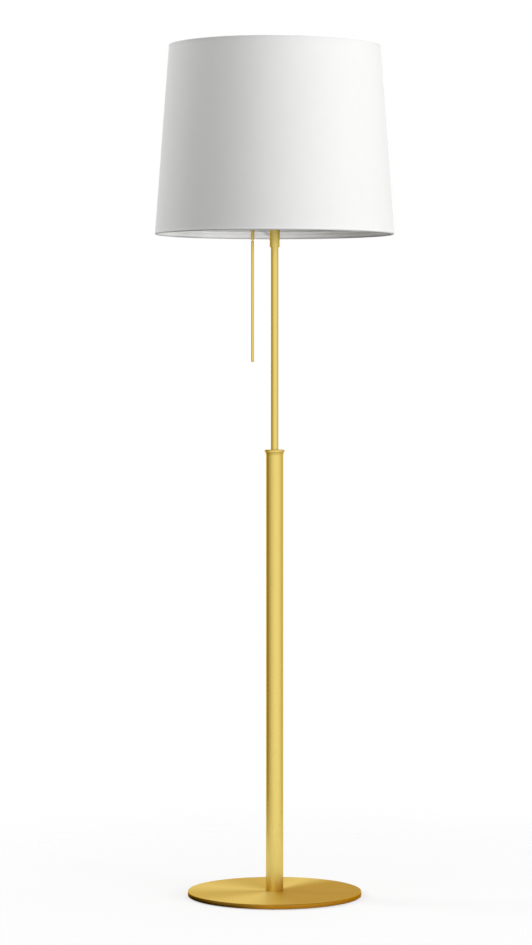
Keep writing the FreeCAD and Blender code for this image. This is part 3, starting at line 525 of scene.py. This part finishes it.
spring_low, spring_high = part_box("pull_spring")
spring_axis = (spring_low[0] + spring_high[0]) / 2
spring_radius = (spring_high[0] - spring_low[0]) / 2 - SPRING_WIRE_RADIUS
spring_foot = spring_low[2] + SPRING_WIRE_RADIUS
spring_height = spring_high[2] - spring_low[2] - 2 * SPRING_WIRE_RADIUS
spring_path = []
for step in range(SPRING_TURNS * SPRING_STEPS + 1):
    turns = step / SPRING_STEPS
    climb = min(max((turns - CLOSED_TURNS) / (SPRING_TURNS - 2 * CLOSED_TURNS), 0.0), 1.0)
    turn = math.tau * turns
    spring_path.append((
        spring_axis + spring_radius * math.cos(turn),
        spring_radius * math.sin(turn),
        spring_foot + spring_height * climb,
    ))
wound_spring = swept("wound_spring", spring_path, SPRING_WIRE_RADIUS, SPRING_SIDES, zinc)
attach(wound_spring, "upper_pole")
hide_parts("pull_spring")
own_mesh(wound_spring)


# Bush, piston and stop sleeve
#
# Moulded in white nylon. The bush is pressed into the lower tube's top, the piston slides under it, and
# the sleeve on the upper tube stops the slide when it meets the bush.

NYLON = ((0.76, 0.75, 0.71, 1.0), (0.84, 0.83, 0.79, 1.0))

nylon = grained("white_nylon", 300.0, NYLON, roughness=0.45, uneven=0.15, raised=0.06)
paint(nylon, "guide_bush", "slide_piston", "stop_sleeve")


# Lampholder
#
# White moulded plastic, with a ceramic insert and the two rings that clamp the shade's hub. The switch's
# contact block is ceramic as well.

PLASTIC = ((0.80, 0.80, 0.78, 1.0), (0.85, 0.85, 0.83, 1.0))
CERAMIC = ((0.76, 0.74, 0.69, 1.0), (0.86, 0.84, 0.79, 1.0))

moulded = grained("moulded_white", 700.0, PLASTIC, roughness=0.30, uneven=0.12, raised=0.05)
paint(moulded, "lampholder_cap", "lampholder_body", "shade_ring_lower", "shade_ring_upper")
ceramic = grained("bare_ceramic", 900.0, CERAMIC, roughness=0.62, uneven=0.15, raised=0.12, detail=4.0)
paint(ceramic, "lampholder_insert", "switch_contact_block")


# Bulb
#
# Opal glass, blown thin, on a screw cap rolled from aluminium sheet. A black glass insulator keeps the
# centre contact apart from the cap.

OPAL = ((0.83, 0.82, 0.79, 1.0), (0.88, 0.87, 0.84, 1.0))
ALUMINIUM = ((0.62, 0.62, 0.61, 1.0), (0.78, 0.78, 0.77, 1.0))
ROLLING_MARKS = 900.0
BLACK_GLASS = ((0.010, 0.010, 0.012, 1.0), (0.030, 0.030, 0.034, 1.0))

opal = grained("opal_glass", 60.0, OPAL, roughness=0.22, uneven=0.12, detail=2.0, more={"Coat Weight": 0.3})
paint(opal, "bulb_glass")

rolled, shader = new_finish("rolled_aluminium")
_, _, z = place_of(shader)
rings = speckle(shader, z * ROLLING_MARKS, 0.0, 0.0)
shader.show("Material", shader.add("BsdfPrincipled", {}, {
    "Base Color": shader.blend(rings, *ALUMINIUM),
    "Metallic": 1.0,
    "Roughness": 0.25 + rings * 0.2,
}))
paint(rolled, "bulb_cap", "bulb_contact")

black_glass = grained("black_glass", 500.0, BLACK_GLASS, roughness=0.10, uneven=0.1, detail=2.0)
paint(black_glass, "bulb_insulator")


# Shade fitting
#
# Round steel wire, welded to the hub plate and to the lower edge ring, and lacquered white. The upper
# edge ring is the same wire, held by the cover alone.

LACQUER = ((0.78, 0.78, 0.76, 1.0), (0.84, 0.84, 0.82, 1.0))

lacquer = grained("white_lacquer", 400.0, LACQUER, roughness=0.35, uneven=0.15, raised=0.10)
paint(lacquer, "shade_hub", "shade_arm_rear", "shade_arm_left", "shade_arm_right", "bottom_ring", "top_ring")


# Shade liner
#
# A stiff off-white film, cut as a sector of a ring and closed into a cone. It is coloured a darker grey
# than its own off-white, as a painted shade for the inside of the shade. The cloth is bonded to its
# outside and hides its edges.

# The film's grey is darker than its own off-white: a painted shade for the inside of the shade.
FILM_PAINTED_SHADE = ((0.64, 0.64, 0.63, 1.0), (0.68, 0.68, 0.67, 1.0))

painted_shade_film = grained("liner_film_painted_shade", 250.0, FILM_PAINTED_SHADE, roughness=0.5, uneven=0.2, raised=0.05)
paint(painted_shade_film, "shade_liner")


# Shade cover
#
# Fine white cotton, bonded to the liner, rolled round the two edge wires and glued down inside.
# Its ends overlap at the rear, where the upper one makes a small step.

COTTON = ((0.835, 0.835, 0.830, 1.0), (0.865, 0.865, 0.860, 1.0))
WARP_THREADS = 3200.0
WEFT_THREADS = 16000.0
MOTTLES_PER_METRE = 40.0
COVER_SEGMENTS = 256
WALL_ROWS = 40
CLOTH_THICKNESS = 0.00055
HEM_CENTRE = 0.0023
HEM_ROLL = 0.0023
HEM_PROUD = 0.00035
ROLL_STEPS = 10
ROLL_START = 100
ROLL_SWEEP = 155
FLAP_END = 0.0123
FLAP_DEPTH = 0.0017
FLAP_ZONE = 0.014
FLAP_EDGE_ZONE = 0.011
FLAP_FACE_DEPTH = HEM_CENTRE * 0.6
LAP_HALF_WIDTH = 0.006
LAP_THICKNESS = 0.0006
LAP_MARGIN = 1.3
LAP_STEPS = (-1.0, -0.75, -0.5, -0.25, 0.0, 0.5, 0.985, 1.0)
LAP_EDGE = 0.99

cloth, shader = new_finish("white_cotton")
x, y, z = place_of(shader)
angle = shader.maths("ARCTAN2", y, x)
warp = shader.maths("SINE", angle * WARP_THREADS)
weft = shader.maths("SINE", z * WEFT_THREADS)
weave = warp * weft
mottle = speckle(shader, x * MOTTLES_PER_METRE, y * MOTTLES_PER_METRE, z * MOTTLES_PER_METRE, 3.0)
shader.show("Material", shader.add("BsdfPrincipled", {}, {
    "Base Color": shader.blend(mottle, *COTTON),
    "Roughness": 0.80 + weave * 0.05,
    "Sheen Weight": 0.15,
    "Normal": relief(shader, weave, 0.15),
}))

cover_low, cover_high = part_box("shade_cover")
bottom_wire, top_wire = (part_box(ring)[1] for ring in ("bottom_ring", "top_ring"))
wall_slant = math.atan2(bottom_wire[0] - top_wire[0], top_wire[2] - bottom_wire[2])
wall_length = (cover_high[2] - cover_low[2]) / math.cos(wall_slant)


def hem_section():
    """Outer face of the rolled hem, from the end of its flap inside to the wall outside: run, depth."""
    flap = [(FLAP_END, FLAP_DEPTH), (0.0085, FLAP_DEPTH + 0.0001), (0.0060, 0.0024), (0.0042, 0.0036)]
    roll = []
    for step in range(ROLL_STEPS + 1):
        turn = math.radians(ROLL_START + ROLL_SWEEP * step / ROLL_STEPS)
        roll.append((
            HEM_CENTRE + HEM_ROLL * math.cos(turn),
            HEM_CENTRE - HEM_PROUD + HEM_ROLL * math.sin(turn),
        ))
    foot = [(0.0031, -0.00018), (0.0036, -0.00005), (0.0044, 0.0)]
    return flap + roll + foot


def thinned(section):
    """The cloth's other face: each point moved one thickness to the right of the way along the section."""
    inner = []
    for index, here in enumerate(section):
        back = section[max(index - 1, 0)]
        front = section[min(index + 1, len(section) - 1)]
        run = front[0] - back[0]
        depth = front[1] - back[1]
        length = math.hypot(run, depth)
        inner.append((here[0] - depth / length * CLOTH_THICKNESS, here[1] + run / length * CLOTH_THICKNESS))
    return inner


lower_hem = hem_section()
upper_hem = [(wall_length - run, depth) for run, depth in reversed(lower_hem)]
wall_start = lower_hem[-1][0]
wall_step = (wall_length - 2 * wall_start) / WALL_ROWS
wall = [(wall_start + wall_step * row, 0.0) for row in range(1, WALL_ROWS)]
outer_section = lower_hem + wall + upper_hem
cover_section = outer_section + list(reversed(thinned(outer_section)))

rear = math.pi / 2
lap_turn = LAP_HALF_WIDTH / cover_high[0]
cover_turns = [math.tau * step / COVER_SEGMENTS for step in range(COVER_SEGMENTS)]
cover_turns = [turn for turn in cover_turns if abs(turn - rear) > lap_turn * LAP_MARGIN]
cover_turns += [rear + lap_turn * share for share in LAP_STEPS]
cover_turns.sort()

cover_corners = []
for turn in cover_turns:
    across_lap = (turn - rear) / lap_turn
    on_lap = ease(min(max(across_lap + 1.0, 0.0), 1.0)) if across_lap < LAP_EDGE else 0.0
    # The flap is trimmed by hand, so its end wanders a little.
    wander = 0.00025 * math.sin(turn * 23 + 1.0) + 0.00020 * math.sin(turn * 41)
    for index, (run, depth) in enumerate(cover_section):
        from_end = min(run, wall_length - run)
        on_flap = depth > FLAP_FACE_DEPTH and from_end < FLAP_ZONE
        stray = wander if on_flap and from_end > FLAP_EDGE_ZONE else 0.0
        outside = index < len(outer_section) and not on_flap
        inward = depth - LAP_THICKNESS * on_lap if outside else depth
        reach = cover_high[0] - run * math.sin(wall_slant) - inward * math.cos(wall_slant)
        rise = cover_low[2] + (run + stray) * math.cos(wall_slant) - inward * math.sin(wall_slant)
        cover_corners.append((reach * math.cos(turn), reach * math.sin(turn), rise))
rows = len(cover_section)
cover_faces = []
for column in range(len(cover_turns)):
    here = column * rows
    there = (column + 1) % len(cover_turns) * rows
    for row in range(rows):
        up = (row + 1) % rows
        cover_faces.append((here + row, there + row, there + up, here + up))
cotton_cover = smooth_piece("cotton_cover", cover_corners, cover_faces, cloth)
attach(cotton_cover, "upper_pole")
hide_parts("shade_cover")
